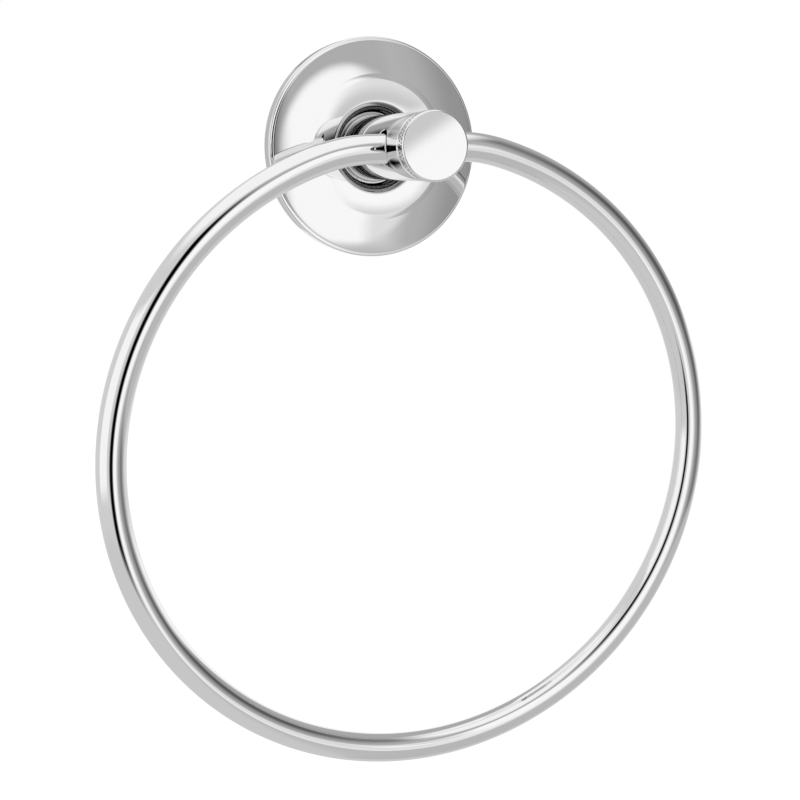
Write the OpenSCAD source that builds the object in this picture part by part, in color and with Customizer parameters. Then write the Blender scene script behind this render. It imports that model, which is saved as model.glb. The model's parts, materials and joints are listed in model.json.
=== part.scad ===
// Towel ring for a wall. The wall is the plane y = 0, the ring hangs in front of it towards -Y,
// and the origin is the centre of the wall plate's back.

/* [Flange] */
// Outer diameter of the flange
flange_d = 62.8; // [60:0.5:70]
// Thickness of the flange's sheet
flange_t = 1.4; // [1.2:0.1:1.6]
// Height of the straight side of the rim
rim_h = 4.7; // [4.2:0.1:5]
// Radius of the rounded bead on the rim
bead_r = 1.2; // [1:0.05:1.3]
// Angle that the bead turns through before it meets the face
bead_turn = 115; // [105:1:120]
// Height above the wall of the sloping face where it meets the step
face_h = 7.35; // [7.2:0.05:7.5]
// Rise of the small step inside the sloping face
step_rise = 0.27; // [0.15:0.01:0.35]
// Width of the step
step_w = 1.2; // [0.8:0.1:1.6]
// Height of the dish's lip above the wall
lip_h = 7.95; // [7.8:0.05:8.2]
// Width of the flatter band between the step and the lip
band_w = 6.5; // [6:0.1:7]
// Width of the dish's wall, from its lip to its floor
dish_w = 2.7; // [2.5:0.1:3.2]
// Gap between the post's foot and the dish's wall
foot_gap = 0.5; // [0.4:0.1:0.8]

/* [Wall plate] */
// Gap between the wall plate's edge and the flange round it
plate_gap = 4.1; // [3:0.1:5]
// Thickness of the wall plate
plate_t = 2; // [1.6:0.1:2.2]
// Distance from the middle of a wall screw hole to the plate's edge
screw_margin = 7; // [6:0.5:9]
// Diameter of a wall screw hole
screw_hole_d = 4.5; // [4:0.1:5]
// Width of the countersink round it
screw_sink_w = 1.6; // [1.2:0.1:1.8]
// Height of the peg above the plate
spigot_h = 15; // [13:0.5:16]
// Diameter of the thread of the screw that holds the peg
spigot_screw_d = 4; // [3:0.5:5]
// Width of its countersunk head outside the thread
spigot_head_w = 1.5; // [1.2:0.1:1.8]
// Length of that screw
spigot_screw_l = 10; // [8:0.5:12]

/* [Post] */
// Diameter of the post
post_d = 18.2; // [17.5:0.1:18.8]
// Length from the wall to the end face of the cap
reach = 53.4; // [51:0.1:57]
// Thickness of the post's wall round the peg
post_wall = 3.1; // [2.6:0.1:3.6]
// How far the foot stands out round the post
foot_step = 0.6; // [0.4:0.1:1]
// Height of the foot
foot_h = 1.6; // [1.2:0.1:2.2]
// Distance from the middle of the cross hole to the back of the cap
hole_to_cap = 12.4; // [11:0.1:13.5]
// Gap all round the ring's tube in the cross hole
hole_gap = 0.55; // [0.45:0.05:0.65]
// Width of the broken edge round the cross hole
hole_edge = 0.35; // [0.2:0.05:0.5]
// Height of the grub screw above the wall
grub_h = 11; // [10:0.5:12]
// Diameter of the grub screw
grub_d = 5; // [4:0.5:6]

/* [Cap] */
// How far the knurled edge stands out round the post
cap_step = 0.1; // [0.05:0.05:0.3]
// Thickness of the cap
cap_t = 4.5; // [4.2:0.1:5]
// Width of the bevel on each edge of the cap
cap_bevel = 0.5; // [0.4:0.05:0.6]
// Number of pits in each of the two rows of the knurl
pit_count = 56; // [40:2:60]
// Width of a pit, across the corners that point round the cap
pit_w = 0.6; // [0.5:0.05:0.65]
// Length of a pit, across its other two corners
pit_l = 0.9; // [0.7:0.1:1.1]
// Depth of a pit
pit_depth = 0.25; // [0.15:0.05:0.3]
// Plain strip between the front bevel and the pits
knurl_edge = 0.1; // [0.1:0.05:0.3]
// Distance between the middles of the two rows of pits
row_gap = 1.5; // [1.3:0.1:1.7]
// Diameter of the stud behind the cap
stud_d = 8; // [6:0.5:9]
// Length of the stud
stud_l = 4.6; // [4:0.1:5]

/* [Ring] */
// Outer diameter of the ring
ring_d = 180; // [160:1:200]
// Diameter of the ring's tube
tube_d = 8; // [7.6:0.1:8.2]
// Thickness of the tube's wall
tube_t = 1.2; // [1:0.1:1.6]
// How far the straight part of the tube runs out past each side of the post
straight_past = 2.9; // [1.5:0.1:4]
// Radius of the tighter bend beside the straight part
bend_r = 45; // [40:1:50]
// Length of the pin that joins the ends of the tube
pin_l = 16; // [12:1:18]

/* [Hidden] */
$fn = 96;
chrome = "silver";
steel = "lightslategray";
// Gap round what slides or is dropped into a hole
slip = 0.1;
// Gap round the pin in the tube
pin_slip = 0.05;
// Gap between the two ends of the tube
seam = 0.1;
// Gap under the ring where it rests in the cross hole
rest_gap = 0.2;
// How far the bends of the tube lap over the stretches beside them, and how much thicker they are
lap = 1;
lap_step = 0.02;
// Small edge bevel and small fillet of turned pieces
edge = 0.3;
// How far cuts run past the solid that they cut
over = 1;
// Curvature of the three bands of the flange's face
outer_bulge = 0.1;
inner_bulge = 0.05;
dish_bulge = 0.25;
// Wall of the dish at half its depth
dish_mid_share = 0.42;
// Length and width over flats of the sockets in the screws
socket_depth = 1.4;
socket_w = 2.5;
// Depth of the recess in the plate that lets the screw's head lie below the wall face
head_recess = 0.1;
// Depth of the dimple in the peg and of the grub screw's point
point_h = 1;
// Steps along one curve of an outline
steps = 8;

flange_r = flange_d / 2;
floor_h = plate_t + flange_t;
post_r = post_d / 2;
foot_r = post_r + foot_step;
floor_r = foot_r + foot_gap;
lip_r = floor_r + dish_w;
crease_r = lip_r + band_w;
face_r = crease_r + step_w;
plate_r = flange_r - flange_t - plate_gap;
screw_x = plate_r - screw_margin;
spigot_r = post_r - post_wall - slip;
cap_r = post_r + cap_step;
cap_back = reach - cap_t;
hole_h = cap_back - hole_to_cap;
tube_r = tube_d / 2;
bore_r = tube_r - tube_t;
hole_r = tube_r + hole_gap;
arc_r = ring_d / 2 - tube_r;
straight_l = post_r + straight_past;
// Height of the ring's straight part, which it swings about
axis_z = tube_r + rest_gap - hole_r;
// Angle from the top at which the tighter bend meets the large arc
bend_turn = asin(straight_l / (arc_r - bend_r));
// Distance from the straight part down to the middle of the large arc
arc_drop = bend_r + (arc_r - bend_r) * cos(bend_turn);

// Points of an arc round c
function arc(c, r, from, to, n) =
    [for (i = [0 : n]) c + r * [cos(from + (to - from) * i / n), sin(from + (to - from) * i / n)]];

// Points from p to q on an arc that rises by bulge on the left of the way from p to q
function bulge(p, q, bulge, n) =
    let (d = q - p, left = [-d[1], d[0]] / norm(d))
    [for (i = [0 : n]) p + d * i / n + left * bulge * 4 * (i / n) * (1 - i / n)];

// The same points moved by t to the left of the way along them
function beside(pts, t) =
    [for (i = [0 : len(pts) - 1])
        let (a = pts[max(i - 1, 0)], b = pts[min(i + 1, len(pts) - 1)], d = (b - a) / norm(b - a))
        pts[i] + t * [-d[1], d[0]]];

// Turns a piece that is modelled along +Z so that it stands out of the wall
module outwards() {
    rotate([90, 0, 0]) children();
}

bead_c = [flange_r - bead_r, rim_h];
bead_end = bead_c + bead_r * [cos(bead_turn), sin(bead_turn)];
face_end = [face_r, face_h];
crease = [crease_r, face_h + step_rise];
lip = [lip_r, lip_h];
floor_edge = [floor_r, floor_h];
dish_mid = floor_edge + [dish_mid_share * (lip_r - floor_r), (1 - dish_mid_share) * (lip_h - floor_h)];

// The face of the flange from the end of the bead to the edge of the dish's floor
face_line = concat(
    bulge(bead_end, face_end, -outer_bulge, steps),
    [for (i = [0 : steps]) bulge(crease, lip, -inner_bulge, steps)[i]],
    [for (i = [1 : steps]) bulge(lip, dish_mid, -dish_bulge, steps)[i]],
    [for (i = [1 : steps]) bulge(dish_mid, floor_edge, dish_bulge, steps)[i]]
);

module flange() {
    bead = arc(bead_c, bead_r, 0, bead_turn, 2 * steps);
    back = beside([bead_end, face_end, crease, lip, dish_mid, floor_edge], flange_t);
    color(chrome) outwards() rotate_extrude()
        polygon(concat(
            [[flange_r, 0]],
            [for (i = [0 : 2 * steps - 1]) bead[i]],
            face_line,
            [[spigot_r + slip, floor_h], [spigot_r + slip, plate_t], [back[len(back) - 1][0], plate_t]],
            [for (i = [len(back) - 2 : -1 : 0]) back[i]],
            [[flange_r - flange_t, back[0][1]], [flange_r - flange_t, 0]]
        ));
}

// A hole through a plate of thickness depth, sunk on its far side
module countersink(hole, sink_w, depth) {
    translate([0, 0, -over]) cylinder(d = hole, h = depth + 2 * over);
    translate([0, 0, depth - sink_w]) cylinder(d1 = hole, d2 = hole + 2 * sink_w, h = sink_w);
    translate([0, 0, depth]) cylinder(d = hole + 2 * sink_w, h = over);
}

module wall_plate() {
    color(steel) outwards() difference() {
        cylinder(r = plate_r, h = plate_t);
        for (side = [-1, 1])
            translate([side * screw_x, 0, 0]) countersink(screw_hole_d, screw_sink_w, plate_t);
        translate([0, 0, plate_t]) mirror([0, 0, 1])
            countersink(spigot_screw_d + 2 * slip, spigot_head_w, plate_t - head_recess + slip);
    }
}

module spigot() {
    top = plate_t + spigot_h;
    color(steel) outwards() difference() {
        union() {
            translate([0, 0, plate_t]) cylinder(r = spigot_r, h = spigot_h - edge);
            translate([0, 0, top - edge]) cylinder(r1 = spigot_r, r2 = spigot_r - edge, h = edge);
        }
        translate([0, 0, plate_t - over])
            cylinder(d = spigot_screw_d + 2 * slip, h = spigot_screw_l + over);
        translate([0, -spigot_r - slip, grub_h]) rotate([-90, 0, 0])
            cylinder(r1 = point_h + 2 * slip, r2 = 0, h = point_h + 2 * slip);
    }
}

module hex_socket(depth) {
    cylinder(d = socket_w / cos(30), h = depth + over, $fn = 6);
}

module spigot_screw() {
    color(steel) outwards() translate([0, 0, head_recess]) difference() {
        union() {
            cylinder(d1 = spigot_screw_d + 2 * spigot_head_w, d2 = spigot_screw_d, h = spigot_head_w);
            cylinder(d = spigot_screw_d, h = spigot_screw_l);
        }
        translate([0, 0, socket_depth]) mirror([0, 0, 1]) hex_socket(socket_depth);
    }
}

module post() {
    foot_top = floor_h + foot_h;
    outline = concat(
        [[0, floor_h], [foot_r - edge, floor_h], [foot_r, floor_h + edge]],
        arc([foot_r - edge, foot_top - edge], edge, 0, 90, steps),
        [[post_r, foot_top], [post_r, cap_back - edge], [post_r - edge, cap_back], [0, cap_back]]
    );
    color(chrome) outwards() difference() {
        rotate_extrude() polygon(outline);
        translate([0, 0, floor_h - over])
            cylinder(r = spigot_r + slip, h = plate_t + spigot_h + slip - floor_h + over);
        translate([0, 0, cap_back - stud_l - slip]) cylinder(d = stud_d + 2 * slip, h = stud_l + slip + over);
        translate([0, 0, hole_h]) rotate([0, 90, 0])
            cylinder(r = hole_r, h = post_d + 2 * over, center = true);
        for (side = [0, 1]) mirror([side, 0, 0])
            translate([post_r - hole_edge, 0, hole_h]) rotate([0, 90, 0])
                cylinder(r1 = hole_r, r2 = hole_r + hole_edge + over, h = hole_edge + over);
        translate([0, 0, grub_h]) rotate([90, 0, 0]) cylinder(d = grub_d + 2 * slip, h = post_r + over);
    }
}

module grub_screw() {
    tip = spigot_r;
    back = post_r - 2 * edge;
    color(steel) outwards() translate([0, 0, grub_h]) rotate([90, 0, 0]) difference() {
        union() {
            translate([0, 0, tip]) cylinder(d = grub_d, h = back - tip);
            translate([0, 0, tip - point_h]) cylinder(r1 = 0, r2 = point_h, h = point_h);
        }
        translate([0, 0, back - socket_depth]) hex_socket(socket_depth);
    }
}

// Two rows of diamond-shaped pits in the cap's side, each row half a pitch round from the other.
module knurl_pits() {
    row_h = reach - cap_bevel - knurl_edge - pit_l / 2;
    for (row = [0, 1], i = [0 : pit_count - 1])
        rotate([0, 0, 360 * (i + row / 2) / pit_count]) translate([cap_r - pit_depth, 0, row_h - row * row_gap])
            rotate([0, 90, 0]) linear_extrude(2 * pit_depth)
                polygon([[-pit_l / 2, 0], [0, pit_w / 2], [pit_l / 2, 0], [0, -pit_w / 2]]);
}

module cap() {
    color(chrome) outwards() {
        difference() {
            rotate_extrude() polygon([
                [0, cap_back],
                [cap_r - cap_bevel, cap_back],
                [cap_r, cap_back + cap_bevel],
                [cap_r, reach - cap_bevel],
                [cap_r - cap_bevel, reach],
                [0, reach]
            ]);
            knurl_pits();
        }
        translate([0, 0, cap_back - stud_l]) cylinder(d = stud_d, h = stud_l);
    }
}

// Part of a circle of tube round the origin in the XZ plane, from angle from to angle to
module curved_tube(r, path_r, from, to) {
    rotate([90, 0, 0]) rotate([0, 0, from]) rotate_extrude(angle = to - from) translate([path_r, 0]) circle(r = r);
}

// The whole run of the tube with radius r: straight ends, two bends and the large arc
module tube_run(r, gap) {
    lap_turn = lap / bend_r * 180 / PI;
    translate([0, 0, -arc_drop]) curved_tube(r, arc_r, 90 + bend_turn, 450 - bend_turn);
    for (side = [0, 1]) mirror([side, 0, 0]) {
        translate([straight_l, 0, -bend_r])
            curved_tube(r + lap_step, bend_r, 90 - bend_turn - lap_turn, 90 + lap_turn);
        translate([gap / 2, 0, 0]) rotate([0, 90, 0]) cylinder(r = r, h = straight_l - gap / 2);
    }
}

module ring() {
    color(chrome) translate([0, -hole_h, axis_z]) difference() {
        tube_run(tube_r, seam);
        tube_run(bore_r, 0);
        rotate([0, 90, 0]) cylinder(r = bore_r, h = 2 * over, center = true);
    }
}

module ring_pin() {
    color(steel) translate([0, -hole_h, axis_z]) rotate([0, 90, 0])
        cylinder(r = bore_r - pin_slip, h = pin_l, center = true);
}

flange();
wall_plate();
spigot();
spigot_screw();
post();
grub_screw();
cap();
ring();
ring_pin();
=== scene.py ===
"""Looks of the towel ring: finely turned chrome pieces, hidden zinc-plated parts, camera and studio."""

import json
import math

import bmesh
import bpy
from mathutils import Matrix, Vector


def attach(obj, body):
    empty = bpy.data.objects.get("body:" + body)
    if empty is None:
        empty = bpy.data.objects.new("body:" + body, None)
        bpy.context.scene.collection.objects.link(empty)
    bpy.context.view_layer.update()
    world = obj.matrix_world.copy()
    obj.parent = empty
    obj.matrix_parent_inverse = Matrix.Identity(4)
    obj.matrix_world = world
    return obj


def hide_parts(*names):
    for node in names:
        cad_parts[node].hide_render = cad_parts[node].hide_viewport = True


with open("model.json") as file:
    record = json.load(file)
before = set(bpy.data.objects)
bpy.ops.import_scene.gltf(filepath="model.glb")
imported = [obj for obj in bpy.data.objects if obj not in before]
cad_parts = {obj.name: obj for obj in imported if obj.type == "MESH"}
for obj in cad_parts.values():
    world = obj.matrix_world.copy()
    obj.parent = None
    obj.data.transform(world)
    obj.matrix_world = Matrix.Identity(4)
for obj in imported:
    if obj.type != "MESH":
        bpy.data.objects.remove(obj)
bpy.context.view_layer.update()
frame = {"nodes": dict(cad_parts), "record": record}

MM = 0.001

# View: degrees to the left of straight ahead, degrees above level, tilt of the camera
VIEW_TURN, VIEW_RISE, VIEW_ROLL = 19.91, 10.30, -1.78
VIEW_DISTANCE = 425
VIEW_AIM = Vector((7.36, 0, -75.8))
FRAME_WIDTH_PX = 800
FOCAL_PX = 1395.5
SENSOR = 36

# Sizes in millimetres, with heights measured out from the wall. They are the solids' own, apart from the
# ledge and step of the rim, the height of the dish's lip and the rounded lip of the cross hole. A point
# of an outline is a radius and a height.
PLATE_T, SHEET_T = 2, 1.4
FLOOR_H = PLATE_T + SHEET_T
FLANGE_R = 31.4
LEDGE_H, SHOULDER_R = 4.7, 0.55
STEP_R, STEP_TOP, STEP_ROUND = 30.45, 5.7, 0.25
FACE_END = (20.6, 7.35)
CREASE = (19.4, 7.62)
LIP = (12.9, 7.65)
DISH_MID = (11.334, 6.039)
DISH_EDGE = (10.2, FLOOR_H)
FACE_BOW, BAND_BOW, DISH_BOW = 0.1, 0.05, 0.25
PEG_HOLE_R, PEG_HOLE_TOP = 6, 17.1
POST_R, FOOT_R, FOOT_H, EDGE = 9.1, 9.7, 1.6, 0.3
CAP_R, CAP_BACK, REACH = 9.2, 48.9, 53.4
CAP_BEVEL, BEVEL_BOW, BEVEL_FLAT = 0.5, 0.1, 0.05
STUD_HOLE_R, STUD_HOLE_H = 4.1, 44.2
STUD_R, STUD_L = 4, 4.6
HOLE_H, HOLE_R = 36.5, 4.55
HOLE_LIP_R, HOLE_LIP_TURN, FLARE_OUT = 0.4, 75, 2
GRUB_H, GRUB_HOLE_R, GRUB_DRILL_L = 11, 2.6, 20
PIT_COUNT, PIT_W, PIT_L, PIT_DEPTH = 56, 0.6, 0.9, 0.25
ROW_H, ROW_GAP = 52.35, 1.5
ARC_R, TUBE_R, BORE_R = 86, 4, 2.8
STRAIGHT_L, BEND_R, AXIS_Z, SEAM = 12, 45, -0.35, 0.1

# How many steps the curves of the outlines have
SHOULDER_STEPS, STEP_STEPS, FACE_STEPS, DISH_STEPS = 12, 8, 30, 16
EDGE_STEPS, WALL_STEPS, HOLE_LIP_STEPS = 8, 12, 8
BACK_BEVEL_STEPS, SIDE_STEPS, BEVEL_STEPS = 8, 26, 10

# How many sides the round forms have. A turned piece is one slice, doubled that many times.
DOUBLINGS = 4
SLICES = 2 ** DOUBLINGS
FLANGE_SIDES, POST_SIDES, SIDES_PER_PIT = 288, 352, 12
DRILL_SIDES, HOLE_SIDES, STUD_SIDES, TUBE_SIDES = 128, 160, 64, 72
BEND_STEPS = 20

# A pit slopes to its floor in this share of its half width, and the cap's side is found to this slack
PIT_SLOPE = 1 / 3
SIDE_SLACK = 0.01

# Points closer than this are one: within a turned piece, and where the bends of the tube meet its arc
MERGE, BEND_MERGE = 1e-4, 1e-3

# Edges sharper than this many degrees stay sharp
SHARP = 35
FLANGE_SHARP, POST_SHARP, CAP_SHARP = 25, 12, 30

# Finishes. A noise has its scale and its detail.
CHROME = (0.82, 0.82, 0.825, 1)
# The darker chrome below is painted shade in the dish, at the foot of the post and on the rim's side
SHADED_CHROME = (0.55, 0.55, 0.555, 1)
# The black below is painted shade in the knurl's pits
PIT_SHADE_BLACK = (0.012, 0.012, 0.013, 1)
ZINC = (0.55, 0.56, 0.58, 1)
WAVES, WAVE_STRENGTH, WAVE_DEPTH = (140.0, 2.0), 0.02, 0.0002
HAZE, GLOSS, HAZE_ROUGH, PIT_ROUGH = (900.0, 3.0), 0.02, 0.03, 0.3
CLOUDS, ZINC_ROUGH, CLOUD_ROUGH = (220.0, 4.0), 0.25, 0.25

# How far in and out of a surface a mask on it reaches, and how soft it is; depths where a pit's painted
# shade starts and is full
SKIN_IN, SKIN_OUT, SKIN_SOFT = 0.1, 0.3, 0.05
PIT_SHADE_FADE = (0.02, 0.08)

# Surroundings that the chrome reflects, as grey levels of 0 to 255. A turn is in degrees to the right of
# straight ahead and a lift in degrees above level. A fade has the places where it starts and is full, and
# a band has its two edges and how soft they are.
WHITE = 255
SOFTBOX_POWER = 1.15
ROOM, ROOM_FADES = 210, ((178, (22, 33)), (150, (33, 47)), (122, (49, 57)))
CORNER, CORNER_TURN, CORNER_LIFT = 78, (62, 95, 10), (-8, 40, 10)
RIGHT, RIGHT_TURN = 172, (64, 122)
RIGHT_LOW, RIGHT_LOW_LIFT = 222, (-18, -9)
RIGHT_BOX, RIGHT_BOX_LIFT = 248, (-13, 6, 4)
ABOVE, ABOVE_TURN, ABOVE_LIFT = 176, (-28, 30, 6), (12, 26)
FRONT_MIDDLE, FRONT_HALF, FRONT_EDGE = (11, 6), (23, 28), (0.88, 1.04)
FRONT_BOX, FRONT_WHITE, FRONT_WHITE_TURN = 226, 253, (14, 21)
PATCH, PATCH_TURN, PATCH_LIFT = 205, (17, 27, 2), (0, 15, 3)
PATCH_WHITE, PATCH_WHITE_TURN, PATCH_WHITE_LIFT = 254, (15, 26, 3), (0, 6)
PATCH_SLOPE, PATCH_SLOPE_EDGE = 0.65, (-3.6, -2.0)
LEFT_BOX, LEFT_TURN, LEFT_LIFT = 249, (-98, -48, 3), (-12, 30, 3)
OVERHEAD, OVERHEAD_LIFT, OVERHEAD_RISE, OVERHEAD_TURN = 248, (40, 54), 14, (0, 80)
TABLE, TABLE_LIFT = 203, (-24, -18)
DARK_TABLE, DARK_TABLE_TURN = 187, (5, 95, 15)

# Studio, in millimetres
DOME_R, DOME_COLUMNS, DOME_ROWS = 500, 96, 48
DOME_MIDDLE = Vector((0, -36, -85))
CLOTH_MIDDLE = Vector((-132, -310, -28))
CLOTH_HALF_W, CLOTH_HALF_H, CLOTH_SOFT = 63, 190, 30
FLOOR_MIDDLE = Vector((0, 0, -450))
FLOOR_SIDE = 4000
PAPER, PAPER_GLOW = (0.9, 0.9, 0.9, 1), 0.15
WHITE_LIGHT, NO_LIGHT = (1, 1, 1, 1), (0, 0, 0, 1)


class Value:
    """A socket that can be used in sums, so that shader maths reads as plain Python."""

    def __init__(self, maker, socket):
        self.maker, self.socket = maker, socket

    def _math(self, kind, *values):
        return self.maker.node("ShaderNodeMath", {"operation": kind}, *values)

    def __add__(self, other):
        return self._math("ADD", self, other)

    def __sub__(self, other):
        return self._math("SUBTRACT", self, other)

    def __rsub__(self, other):
        return self._math("SUBTRACT", other, self)

    def __mul__(self, other):
        return self._math("MULTIPLY", self, other)

    def __truediv__(self, other):
        return self._math("DIVIDE", self, other)

    __radd__, __rmul__ = __add__, __mul__


class Maker:
    """Makes the nodes of one material or of the world."""

    def __init__(self, tree):
        self.tree = tree
        tree.nodes.clear()

    def node(self, kind, settings=None, *values, out=0, **named):
        node = self.tree.nodes.new(kind)
        for name, value in (settings or {}).items():
            setattr(node, name, value)
        for key, value in list(enumerate(values)) + [(k.replace("_", " "), v) for k, v in named.items()]:
            if isinstance(value, Value):
                self.tree.links.new(value.socket, node.inputs[key])
            else:
                node.inputs[key].default_value = value
        return Value(self, node.outputs[out]) if node.outputs else None

    def place(self):
        """Object coordinates, as a vector."""
        return self.node("ShaderNodeTexCoord", out="Object")

    def noise(self, scale, detail):
        return self.node("ShaderNodeTexNoise", None, Vector=self.place(), Scale=scale, Detail=detail)

    def split(self, vector):
        node = self.node("ShaderNodeSeparateXYZ", None, vector).socket.node
        return [Value(self, socket) for socket in node.outputs]

    def mix(self, mask, first, second):
        """The first colour where the mask is 0 and the second where it is 1."""
        mixed = self.node("ShaderNodeMix", {"data_type": "RGBA"}, mask, out=2)
        mixed.socket.node.inputs[6].default_value = first
        mixed.socket.node.inputs[7].default_value = second
        return mixed

    def hypotenuse(self, a, b):
        return self.node("ShaderNodeMath", {"operation": "SQRT"}, a * a + b * b)

    def rise(self, value, start, end):
        """0 before start, 1 after end, smooth between them."""
        smooth = {"interpolation_type": "SMOOTHSTEP"}
        return self.node("ShaderNodeMapRange", smooth, value, start, end, 0.0, 1.0)

    def fall(self, value, start, end):
        """1 before start, 0 after end, smooth between them."""
        return 1 - self.rise(value, start, end)

    def band(self, value, low, high, soft):
        """1 between low and high, with soft edges."""
        return self.rise(value, low - soft, low + soft) * self.fall(value, high - soft, high + soft)


def light_of(grey):
    """The light that renders as that grey level."""
    share = grey / WHITE
    return share / 12.92 if share < 0.04045 else ((share + 0.055) / 1.055) ** 2.4


def new_material(name):
    material = bpy.data.materials.new(name)
    material.use_nodes = True
    return material, Maker(material.node_tree)


# Studio

def softbox_light():
    """Softboxes to the left, right, in front and overhead, a grey table below and a dark corner on the
    right. The patch is what the cap's face reflects: grey with a white lower corner."""
    material, make = new_material("softbox_light")
    x, y, z = make.split(make.node("ShaderNodeVectorMath", {"operation": "NORMALIZE"}, make.place()))
    turn = make.node("ShaderNodeMath", {"operation": "ARCTAN2"}, x, y * -1) * math.degrees(1)
    lift = make.node("ShaderNodeMath", {"operation": "ARCSINE"}, z) * math.degrees(1)
    level = light_of(ROOM)

    def paint(grey, mask):
        return level + mask * (light_of(grey) - level)

    for grey, fade in ROOM_FADES:
        level = paint(grey, make.rise(turn, *fade))
    level = paint(CORNER, make.band(turn, *CORNER_TURN) * make.band(lift, *CORNER_LIFT))
    right = make.rise(turn, *RIGHT_TURN)
    level = paint(RIGHT, right)
    level = paint(RIGHT_LOW, right * make.fall(lift, *RIGHT_LOW_LIFT))
    level = paint(RIGHT_BOX, right * make.band(lift, *RIGHT_BOX_LIFT))
    level = paint(ABOVE, make.band(turn, *ABOVE_TURN) * make.rise(lift, *ABOVE_LIFT))
    wide, tall = (turn - FRONT_MIDDLE[0]) / FRONT_HALF[0], (lift - FRONT_MIDDLE[1]) / FRONT_HALF[1]
    front = make.fall(make.hypotenuse(wide, tall), *FRONT_EDGE)
    level = paint(FRONT_BOX, front)
    level = paint(FRONT_WHITE, front * make.fall(turn, *FRONT_WHITE_TURN))
    level = paint(PATCH, make.band(turn, *PATCH_TURN) * make.band(lift, *PATCH_LIFT))
    corner = make.band(turn, *PATCH_WHITE_TURN) * make.rise(lift, *PATCH_WHITE_LIFT)
    level = paint(PATCH_WHITE, corner * make.fall(lift - turn * PATCH_SLOPE, *PATCH_SLOPE_EDGE))
    level = paint(LEFT_BOX, make.band(turn, *LEFT_TURN) * make.band(lift, *LEFT_LIFT))
    edge = lift - make.rise(turn, *OVERHEAD_TURN) * OVERHEAD_RISE
    level = paint(OVERHEAD, make.rise(edge, *OVERHEAD_LIFT))
    table = make.fall(lift, *TABLE_LIFT)
    level = paint(TABLE, table)
    level = paint(DARK_TABLE, table * make.band(turn, *DARK_TABLE_TURN))
    light = make.node("ShaderNodeEmission", None, level, SOFTBOX_POWER)
    make.node("ShaderNodeOutputMaterial", None, light)
    return material


def black_cloth():
    """Black in its middle and clear towards its edges, so that its reflection is soft."""
    material, make = new_material("black_cloth")
    x, y, z = make.split(make.place())
    cloth = (make.band(x, -CLOTH_HALF_W * MM, CLOTH_HALF_W * MM, CLOTH_SOFT * MM)
             * make.band(z, -CLOTH_HALF_H * MM, CLOTH_HALF_H * MM, CLOTH_SOFT * MM))
    clear = make.node("ShaderNodeBsdfTransparent")
    black = make.node("ShaderNodeEmission", None, NO_LIGHT, 0.0)
    mixed = make.node("ShaderNodeMixShader", None, cloth, clear, black)
    make.node("ShaderNodeOutputMaterial", None, mixed)
    return material


def white_paper():
    """Renders white in plain light and keeps the object's shadow."""
    material, make = new_material("white_paper")
    paper = make.node("ShaderNodeBsdfDiffuse", None, PAPER)
    glow = make.node("ShaderNodeEmission", None, WHITE_LIGHT, PAPER_GLOW)
    make.node("ShaderNodeOutputMaterial", None, make.node("ShaderNodeAddShader", None, paper, glow))
    return material


def stage_piece(name, bm, middle, material):
    mesh = bpy.data.meshes.new(name)
    bm.to_mesh(mesh)
    bm.free()
    piece = bpy.data.objects.new(name, mesh)
    bpy.context.scene.collection.objects.link(piece)
    piece.location = middle * MM
    mesh.materials.append(material)
    return piece


def studio():
    world = bpy.data.worlds.new("white_room")
    bpy.context.scene.world = world
    world.use_nodes = True
    make = Maker(world.node_tree)
    make.node("ShaderNodeOutputWorld", None, make.node("ShaderNodeBackground", None, WHITE_LIGHT, 1.0))

    bm = bmesh.new()
    bmesh.ops.create_uvsphere(bm, u_segments=DOME_COLUMNS, v_segments=DOME_ROWS, radius=DOME_R * MM)
    dome = stage_piece("softboxes", bm, DOME_MIDDLE, softbox_light())
    bm = bmesh.new()
    upright = Matrix.Rotation(math.pi / 2, 4, "X")
    size = ((CLOTH_HALF_W + CLOTH_SOFT) * MM, 1, (CLOTH_HALF_H + CLOTH_SOFT) * MM)
    bmesh.ops.create_grid(bm, x_segments=1, y_segments=1, size=1, matrix=upright)
    bmesh.ops.scale(bm, verts=bm.verts, vec=size)
    cloth = stage_piece("black_cloth", bm, CLOTH_MIDDLE, black_cloth())
    for piece in (dome, cloth):
        piece.visible_camera = piece.visible_diffuse = piece.visible_shadow = False
    bm = bmesh.new()
    bmesh.ops.create_grid(bm, x_segments=1, y_segments=1, size=FLOOR_SIDE / 2 * MM)
    floor = stage_piece("floor", bm, FLOOR_MIDDLE, white_paper())
    floor.visible_glossy = False


def camera():
    turn, rise, roll = (math.radians(a) for a in (VIEW_TURN, VIEW_RISE, VIEW_ROLL))
    back = Vector((-math.sin(turn) * math.cos(rise), -math.cos(turn) * math.cos(rise), math.sin(rise)))
    right = Vector((math.cos(turn), -math.sin(turn), 0))
    up = back.cross(right)
    tilted_right = math.cos(roll) * right + math.sin(roll) * up
    tilted_up = math.cos(roll) * up - math.sin(roll) * right
    data = bpy.data.cameras.new("camera")
    data.sensor_width = SENSOR
    data.lens = FOCAL_PX / FRAME_WIDTH_PX * SENSOR
    data.clip_start = MM
    eye = bpy.data.objects.new("camera", data)
    bpy.context.scene.collection.objects.link(eye)
    place = Matrix((tilted_right, tilted_up, back)).transposed().to_4x4()
    place.translation = (VIEW_AIM + back * VIEW_DISTANCE) * MM
    eye.matrix_world = place
    bpy.context.scene.camera = eye


# Finishes

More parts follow.
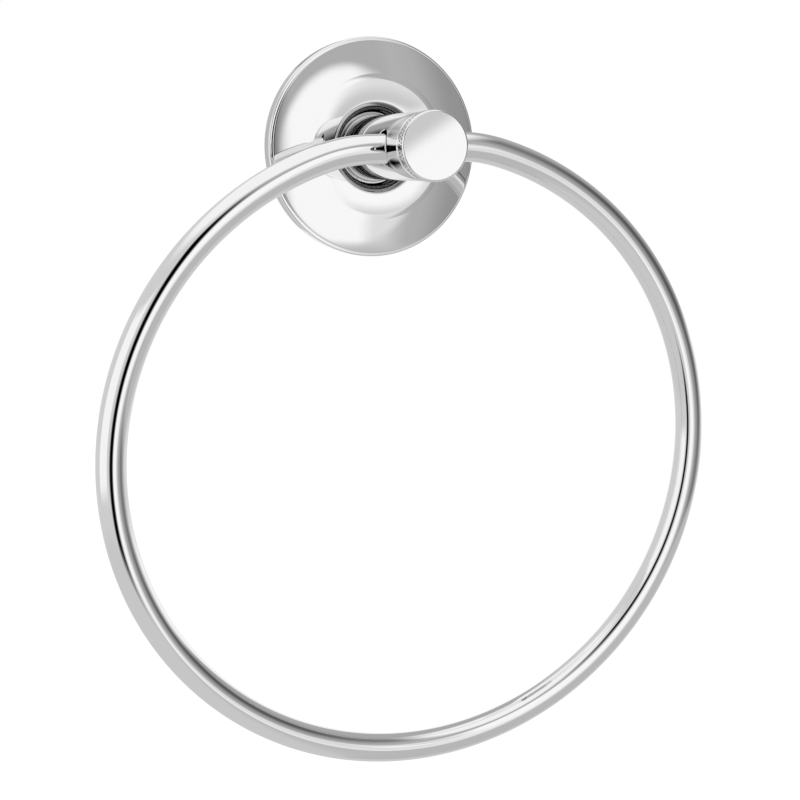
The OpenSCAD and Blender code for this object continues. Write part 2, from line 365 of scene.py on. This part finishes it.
def chrome():
    """Mirror chrome over polished brass, with the faint waves that polishing leaves. Shade is painted into
    its colour deep in the dish, at the foot of the post and on the side of the rim, which are darker there."""
    material, make = new_material("chrome")
    x, y, z = make.split(make.place())
    radius, height = make.hypotenuse(x, z), y * -1
    # Painted shade: darker deep in the dish and at the foot of the post
    dish_shade = (make.fall(radius, (DISH_MID[0] + SKIN_IN) * MM, LIP[0] * MM)
            * make.fall(height, LIP[1] * MM, 2 * LIP[1] * MM))
    # Painted shade: darker on the outer side of the rim
    rim = (make.band(radius, (FLANGE_R - SKIN_IN) * MM, (FLANGE_R + SKIN_OUT) * MM, SKIN_SOFT * MM)
           * make.fall(height, (LEDGE_H - 2 * SHOULDER_R) * MM, (LEDGE_H - SHOULDER_R) * MM))
    bump = make.node("ShaderNodeBump", None, Strength=WAVE_STRENGTH, Distance=WAVE_DEPTH,
                     Height=make.noise(*WAVES))
    color = make.mix(dish_shade + rim, CHROME, SHADED_CHROME)
    shader = make.node("ShaderNodeBsdfPrincipled", None, Base_Color=color, Metallic=1.0,
                       Roughness=make.noise(*HAZE) * HAZE_ROUGH + GLOSS, Normal=bump)
    make.node("ShaderNodeOutputMaterial", None, shader)
    return material


def knurled_chrome():
    """The same chrome without waves, with shade painted into the knurl's pits: black there, and no longer
    metal."""
    material, make = new_material("knurled_chrome")
    x, y, z = make.split(make.place())
    low, high = ROW_H - ROW_GAP - PIT_L, ROW_H + PIT_L / 2
    rows = make.band(y * -1, low * MM, high * MM, SKIN_SOFT * MM)
    depth = CAP_R * MM - make.hypotenuse(x, z)
    # Painted shade: the pits turn black and stop being metal from this depth on
    shaded_pit = make.rise(depth, PIT_SHADE_FADE[0] * MM, PIT_SHADE_FADE[1] * MM) * rows
    rough = make.noise(*HAZE) * HAZE_ROUGH + shaded_pit * PIT_ROUGH + GLOSS
    shader = make.node("ShaderNodeBsdfPrincipled", None, Base_Color=make.mix(shaded_pit, CHROME, PIT_SHADE_BLACK),
                       Metallic=1 - shaded_pit, Specular_IOR_Level=0.0, Roughness=rough)
    make.node("ShaderNodeOutputMaterial", None, shader)
    return material


def zinc():
    """Plain zinc plate on steel, slightly dull and cloudy."""
    material, make = new_material("zinc")
    shader = make.node("ShaderNodeBsdfPrincipled", None, Base_Color=ZINC, Metallic=1.0,
                       Roughness=make.noise(*CLOUDS) * CLOUD_ROUGH + ZINC_ROUGH)
    make.node("ShaderNodeOutputMaterial", None, shader)
    return material


# Outlines and turned forms

def arc(middle, radius, start, end, steps):
    """Points of an arc, angles in degrees."""
    angles = [math.radians(start + (end - start) * i / steps) for i in range(steps + 1)]
    return [(middle[0] + radius * math.cos(a), middle[1] + radius * math.sin(a)) for a in angles]


def bow(start, end, height, steps):
    """Points from start to end, bowed to the left of the way by height. The start is left out."""
    across, along = end[0] - start[0], end[1] - start[1]
    length = math.hypot(across, along)
    shares = [i / steps for i in range(1, steps + 1)]
    return [(start[0] + across * s - along / length * height * 4 * s * (1 - s),
             start[1] + along * s + across / length * height * 4 * s * (1 - s)) for s in shares]


def beside(line, offset):
    """The line moved to the left of the way along it."""
    moved = []
    for i, (x, y) in enumerate(line):
        before, after = line[max(i - 1, 0)], line[min(i + 1, len(line) - 1)]
        across, along = after[0] - before[0], after[1] - before[1]
        length = math.hypot(across, along)
        moved.append((x - along / length * offset, y + across / length * offset))
    return moved


def turned(line, sides, closed=False):
    """A bmesh in millimetres, turned about the line that stands out of the wall, from an outline's points.
    One slice is spun and then copied round, which is quicker. sides is a multiple of SLICES."""
    bm = bmesh.new()
    verts = [bm.verts.new((radius, -height, 0)) for radius, height in line]
    edges = [bm.edges.new(pair) for pair in zip(verts, verts[1:] + (verts[:1] if closed else []))]
    angle = math.tau / SLICES
    bmesh.ops.spin(bm, geom=verts + edges, cent=(0, 0, 0), axis=(0, 1, 0), angle=angle,
                   steps=sides // SLICES)
    copy_round(bm, (0, 0, 0), angle)
    return bm


def copy_round(bm, middle, angle):
    """Doubles the mesh again and again, each copy carrying on where the last one ends."""
    for i in range(DOUBLINGS):
        copy = bmesh.ops.duplicate(bm, geom=bm.verts[:] + bm.edges[:] + bm.faces[:])["geom"]
        verts = [g for g in copy if isinstance(g, bmesh.types.BMVert)]
        bmesh.ops.rotate(bm, verts=verts, cent=middle, matrix=Matrix.Rotation(angle * 2 ** i, 3, "Y"))
    bmesh.ops.remove_doubles(bm, verts=bm.verts, dist=MERGE)
    bmesh.ops.recalc_face_normals(bm, faces=bm.faces)


def piece(name, bm, material, body, *nodes, sharp=SHARP):
    """Makes the bmesh an object of the set, smooth but for edges sharper than that angle."""
    bmesh.ops.scale(bm, verts=bm.verts, vec=(MM, MM, MM))
    mesh = bpy.data.meshes.new(name)
    bm.to_mesh(mesh)
    bm.free()
    mesh.shade_smooth()
    mesh.set_sharp_from_angle(angle=math.radians(sharp))
    mesh.materials.append(material)
    made = bpy.data.objects.new(name, mesh)
    bpy.context.scene.collection.objects.link(made)
    if nodes:
        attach(made, body)
        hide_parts(*nodes)
    return made


def rod(bm, radius, length, place, sides):
    """A solid rod, added to the bmesh."""
    bmesh.ops.create_cone(bm, cap_ends=True, segments=sides, radius1=radius, radius2=radius, depth=length,
                          matrix=place)


# The flange

def flange(material):
    rim = (arc((FLANGE_R - SHOULDER_R, LEDGE_H - SHOULDER_R), SHOULDER_R, 0, 90, SHOULDER_STEPS)
           + [(STEP_R, LEDGE_H)]
           + arc((STEP_R - STEP_ROUND, STEP_TOP - STEP_ROUND), STEP_ROUND, 0, 80, STEP_STEPS))
    face = (bow(rim[-1], FACE_END, -FACE_BOW, FACE_STEPS)
            + [CREASE] + bow(CREASE, LIP, -BAND_BOW, DISH_STEPS)
            + bow(LIP, DISH_MID, -DISH_BOW, DISH_STEPS) + bow(DISH_MID, DISH_EDGE, DISH_BOW, DISH_STEPS))
    back = beside([rim[-1], FACE_END, CREASE, LIP, DISH_MID, DISH_EDGE], SHEET_T)
    floor = [(PEG_HOLE_R, FLOOR_H), (PEG_HOLE_R, PLATE_T), (back[-1][0], PLATE_T)]
    skirt = [(FLANGE_R - SHEET_T, back[0][1]), (FLANGE_R - SHEET_T, 0)]
    line = [(FLANGE_R, 0)] + rim + face + floor + back[::-1] + skirt
    shape = turned(line, FLANGE_SIDES, closed=True)
    piece("flange_turned", shape, material, "base", "flange", sharp=FLANGE_SHARP)


# The post

def cut(target, cutter):
    """Takes the cutter away from the target, and removes it."""
    step = target.modifiers.new("cut", "BOOLEAN")
    step.operation, step.solver, step.object = "DIFFERENCE", "EXACT", cutter
    shape = bpy.data.meshes.new_from_object(target.evaluated_get(bpy.context.evaluated_depsgraph_get()))
    target.modifiers.clear()
    old, target.data = target.data, shape
    bpy.data.meshes.remove(old)
    bpy.data.objects.remove(cutter)


def drill(name, radius, length, turn, middle):
    bm = bmesh.new()
    rod(bm, radius, length, Matrix.Translation(middle) @ turn, DRILL_SIDES)
    return piece(name, bm, None, None)


def flared_drill():
    """Cutter for the cross hole. Its ends flare along the post's curve, which leaves a rounded lip."""
    turns = [math.radians(HOLE_LIP_TURN * i / HOLE_LIP_STEPS) for i in range(HOLE_LIP_STEPS + 1)]
    flare = [(HOLE_R + HOLE_LIP_R * (1 - math.cos(a)), HOLE_LIP_R * (1 - math.sin(a))) for a in turns]
    flare.append((HOLE_R + HOLE_LIP_R, -FLARE_OUT))
    rings = [(-1, radius, depth) for radius, depth in flare[::-1]] + [(1, *ring) for ring in flare]
    bm = bmesh.new()
    place = Matrix.Translation((0, -HOLE_H, 0)) @ Matrix.Rotation(math.pi / 2, 4, "Y")
    verts = bmesh.ops.create_circle(bm, cap_ends=True, segments=HOLE_SIDES, radius=1, matrix=place)["verts"]
    for i, (side, radius, depth) in enumerate(rings):
        if i:
            edges = {e for v in verts for e in v.link_edges if all(w in verts for w in e.verts)}
            pulled = bmesh.ops.extrude_edge_only(bm, edges=list(edges))["geom"]
            verts = [g for g in pulled if isinstance(g, bmesh.types.BMVert)]
        for v in verts:
            a = math.atan2(v.co.z, v.co.y + HOLE_H)
            v.co = (side * math.sqrt((POST_R - depth) ** 2 - (radius * math.sin(a)) ** 2),
                    radius * math.cos(a) - HOLE_H, radius * math.sin(a))
    bmesh.ops.holes_fill(bm, edges=[e for e in bm.edges if e.is_boundary])
    bmesh.ops.recalc_face_normals(bm, faces=bm.faces)
    return piece("flared_drill", bm, None, None)


def post(material):
    top = FLOOR_H + FOOT_H
    wall = [(POST_R, top + (CAP_BACK - EDGE - top) * i / WALL_STEPS) for i in range(WALL_STEPS + 1)]
    line = ([(0, FLOOR_H), (FOOT_R - EDGE, FLOOR_H), (FOOT_R, FLOOR_H + EDGE)]
            + arc((FOOT_R - EDGE, top - EDGE), EDGE, 0, 90, EDGE_STEPS)
            + wall + [(POST_R - EDGE, CAP_BACK), (0, CAP_BACK)])
    made = piece("post_turned", turned(line, POST_SIDES), material, "base", "post")
    out, upright = Matrix.Rotation(math.pi / 2, 4, "X"), Matrix.Identity(4)
    cut(made, flared_drill())
    cut(made, drill("peg_drill", PEG_HOLE_R, 2 * (PEG_HOLE_TOP - FLOOR_H), out, (0, -FLOOR_H, 0)))
    cut(made, drill("stud_drill", STUD_HOLE_R, 2 * (CAP_BACK - STUD_HOLE_H), out, (0, -CAP_BACK, 0)))
    cut(made, drill("grub_drill", GRUB_HOLE_R, GRUB_DRILL_L, upright, (0, -GRUB_H, -GRUB_DRILL_L / 2)))
    made.data.shade_smooth()
    made.data.set_sharp_from_angle(angle=math.radians(POST_SHARP))


# The cap

def pit_depth(turn, height):
    """How deep the knurl is at a place on the cap's side. turn is in pitches, height in millimetres."""
    pitch = math.tau * CAP_R / PIT_COUNT
    deepest = 0
    for row in (0, 1):
        along = (turn - row / 2 + 0.5) % 1 - 0.5
        away = abs(along) * pitch * 2 / PIT_W + abs(height - ROW_H + row * ROW_GAP) * 2 / PIT_L
        deepest = max(deepest, 1 - away)
    return PIT_DEPTH * min(1, deepest / PIT_SLOPE)


def cap(material):
    low, high = CAP_BACK + CAP_BEVEL, REACH - CAP_BEVEL
    knurl = ROW_H - ROW_GAP - PIT_L / 2
    rim = CAP_R - CAP_BEVEL
    side = [(CAP_R, low), (CAP_R, knurl)] + bow((CAP_R, knurl), (CAP_R, high), 0, SIDE_STEPS)
    back = bow((rim, CAP_BACK), side[0], -BEVEL_BOW, BACK_BEVEL_STEPS)[:-1]
    front = bow((CAP_R, high), (rim, REACH), -BEVEL_BOW, BEVEL_STEPS)
    line = ([(0, CAP_BACK), (rim - BEVEL_FLAT, CAP_BACK)] + back
            + side + front + [(rim - BEVEL_FLAT, REACH), (0, REACH)])
    bm = turned(line, PIT_COUNT * SIDES_PER_PIT)
    for v in bm.verts:
        height = -v.co.y
        if math.hypot(v.co.x, v.co.z) > CAP_R - SIDE_SLACK and height > knurl:
            turn = -math.atan2(v.co.z, v.co.x) / math.tau * PIT_COUNT
            share = 1 - pit_depth(turn, height) / CAP_R
            v.co.x *= share
            v.co.z *= share
    stud = Matrix.Translation((0, STUD_L / 2 - CAP_BACK, 0)) @ Matrix.Rotation(math.pi / 2, 4, "X")
    rod(bm, STUD_R, STUD_L, stud, STUD_SIDES)
    piece("cap_turned", bm, material, "base", "cap", sharp=CAP_SHARP)


# The ring

def join(bm, other):
    """Adds the other bmesh to the first."""
    mesh = bpy.data.meshes.new("joined")
    other.to_mesh(mesh)
    other.free()
    bm.from_mesh(mesh)
    bpy.data.meshes.remove(mesh)


def circle(bm, radius, place, turn):
    """A circle across the tube. Gives its vertices and edges."""
    across = Matrix.Translation(place) @ Matrix.Rotation(turn, 4, "Y")
    made = bmesh.ops.create_circle(bm, cap_ends=False, segments=TUBE_SIDES, radius=radius, matrix=across)
    verts = made["verts"]
    return verts + list({e for v in verts for e in v.link_edges})


def tube(radius):
    """One wall of the bent tube, open at its two ends in the post."""
    bend = math.asin(STRAIGHT_L / (ARC_R - BEND_R))
    drop = BEND_R + (ARC_R - BEND_R) * math.cos(bend)
    part = (math.tau - 2 * bend) / SLICES
    bm = bmesh.new()
    first = (ARC_R * math.sin(bend), 0, ARC_R * math.cos(bend) - drop)
    start = circle(bm, radius, first, bend + math.pi / 2)
    bmesh.ops.spin(bm, geom=start, cent=(0, 0, -drop), axis=(0, 1, 0), angle=part, steps=BEND_STEPS)
    copy_round(bm, (0, 0, -drop), part)
    for side in (1, -1):
        end = bmesh.new()
        seam = circle(end, radius, (side * SEAM / 2, 0, 0), math.pi / 2)
        pulled = bmesh.ops.extrude_edge_only(end, edges=seam[TUBE_SIDES:])["geom"]
        verts = [g for g in pulled if isinstance(g, bmesh.types.BMVert)]
        bmesh.ops.translate(end, verts=verts, vec=(side * (STRAIGHT_L - SEAM / 2), 0, 0))
        last = verts + [e for v in verts for e in v.link_edges if all(w in verts for w in e.verts)]
        bmesh.ops.spin(end, geom=list(set(last)), cent=(side * STRAIGHT_L, 0, -BEND_R), axis=(0, side, 0),
                       angle=bend, steps=BEND_STEPS)
        join(bm, end)
    bmesh.ops.remove_doubles(bm, verts=bm.verts, dist=BEND_MERGE)
    return bm


def ring(material):
    bm = tube(TUBE_R)
    join(bm, tube(BORE_R))
    for side in (1, -1):
        rim = [e for e in bm.edges if e.is_boundary and e.verts[0].co.x * side > 0]
        bmesh.ops.bridge_loops(bm, edges=rim)
    bmesh.ops.recalc_face_normals(bm, faces=bm.faces)
    bmesh.ops.translate(bm, verts=bm.verts, vec=(0, -HOLE_H, AXIS_Z))
    piece("ring_bent", bm, material, "towel_ring", "ring")


def dress():
    finishes = {"chrome": chrome(), "steel": zinc()}
    for part in frame["record"]["subparts"]:
        for slot in frame["nodes"][part["node"]].material_slots:
            slot.material = finishes[part["material_slot"]]
    flange(finishes["chrome"])
    post(finishes["chrome"])
    cap(knurled_chrome())
    ring(finishes["chrome"])


camera()
studio()
dress()
bpy.context.scene.view_settings.view_transform = "Standard"
